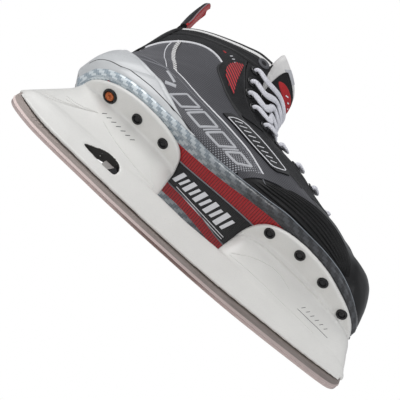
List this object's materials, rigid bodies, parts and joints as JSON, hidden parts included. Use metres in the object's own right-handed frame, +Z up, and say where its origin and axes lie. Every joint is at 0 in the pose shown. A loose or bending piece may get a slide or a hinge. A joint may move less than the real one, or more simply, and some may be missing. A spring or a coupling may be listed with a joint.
{
  "type": "ice hockey skate",
  "caption": "Right-foot ice hockey skate: moulded boot with laced tongue and tendon guard, riveted two-tower blade holder and a latched, removable steel runner.",
  "frame": {"origin": "centre of the overall box in plan, on the ice at the lowest point of the steel", "axes": "+X runs from heel to toe, +Z up, -Y is the outer side of the foot and +Y the inner side"},
  "size_m": [0.2868, 0.088, 0.2635],
  "materials": {
    "steel": "satin ground",
    "holder": "smooth moulded",
    "black_plastic": "smooth moulded",
    "copper": "plain metal",
    "carbon": "woven composite under a clear coat",
    "grey_shell": "smooth moulded",
    "charcoal": "fine lined synthetic",
    "black_trim": "soft synthetic",
    "red": "fine ribbed",
    "felt": "felt",
    "foam": "brushed lining over foam",
    "lace": "woven",
    "board": "pressed board"
  },
  "bodies": {
    "boot": {"holder": "holder", "rivet_right_rear_1": "copper", "rivet_right_rear_2": "black_plastic", "rivet_right_rear_3": "black_plastic", "rivet_right_front_1": "black_plastic", "rivet_right_front_2": "black_plastic", "rivet_right_front_3": "black_plastic", "rivet_right_front_4": "black_plastic", "rivet_left_rear_1": "black_plastic", "rivet_left_rear_2": "black_plastic", "rivet_left_rear_3": "black_plastic", "rivet_left_front_1": "black_plastic", "rivet_left_front_2": "black_plastic", "rivet_left_front_3": "black_plastic", "rivet_left_front_4": "black_plastic", "front_hook_pin": "steel", "trigger_spring": "steel", "outsole": "carbon", "quarter_right": "charcoal", "facing_right": "black_trim", "collar_right": "black_trim", "eyelet_right_1": "black_plastic", "eyelet_right_2": "black_plastic", "eyelet_right_3": "black_plastic", "eyelet_right_4": "black_plastic", "eyelet_right_5": "black_plastic", "eyelet_right_6": "black_plastic", "eyelet_right_7": "black_plastic", "eyelet_right_8": "black_plastic", "eyelet_right_9": "black_plastic", "eyelet_right_10": "black_plastic", "quarter_left": "charcoal", "facing_left": "black_trim", "collar_left": "black_trim", "eyelet_left_1": "black_plastic", "eyelet_left_2": "black_plastic", "eyelet_left_3": "black_plastic", "eyelet_left_4": "black_plastic", "eyelet_left_5": "black_plastic", "eyelet_left_6": "black_plastic", "eyelet_left_7": "black_plastic", "eyelet_left_8": "black_plastic", "eyelet_left_9": "black_plastic", "eyelet_left_10": "black_plastic", "toe_cap": "black_trim", "heel_cap": "grey_shell", "heel_strip": "black_trim", "ankle_liner_right": "foam", "ankle_liner_left": "foam", "insole_board": "board", "footbed": "foam", "tongue": "felt", "tongue_cover": "black_trim", "lace": "lace"},
    "runner": {"runner": "steel"},
    "trigger": {"trigger": "black_plastic"},
    "tongue_top": {"tongue_flap": "felt", "tongue_badge": "red"},
    "guard": {"tendon_guard": "black_trim"}
  },
  "joints": [
    {"name": "runner_release", "type": "hinge", "parent": "boot", "child": "runner", "pos_m": [0.119, -0.00098, 0.031], "axis": [0, -1, 0], "range_deg": [0, 3]},
    {"name": "trigger_slide", "type": "slide", "parent": "boot", "child": "trigger", "axis": [1, 0, 0], "range_m": [0, 0.005], "stiffness_N_per_m": 300, "springref_m": -0.008, "deforming": ["trigger_spring"]},
    {"name": "tongue_fold", "type": "hinge", "parent": "boot", "child": "tongue_top", "pos_m": [-0.0024, -0.00098, 0.2143], "axis": [0, 1, 0], "range_deg": [0, 40], "stiffness_Nm_per_rad": 0.5},
    {"name": "guard_flex", "type": "hinge", "parent": "boot", "child": "guard", "pos_m": [-0.1115, -0.00098, 0.2071], "axis": [0, 1, 0], "range_deg": [-30, 8], "stiffness_Nm_per_rad": 0.8}
  ],
  "couplings": [
    {"joint": "trigger_slide", "follows": "runner_release", "m_per_rad": 0.095493}
  ]
}
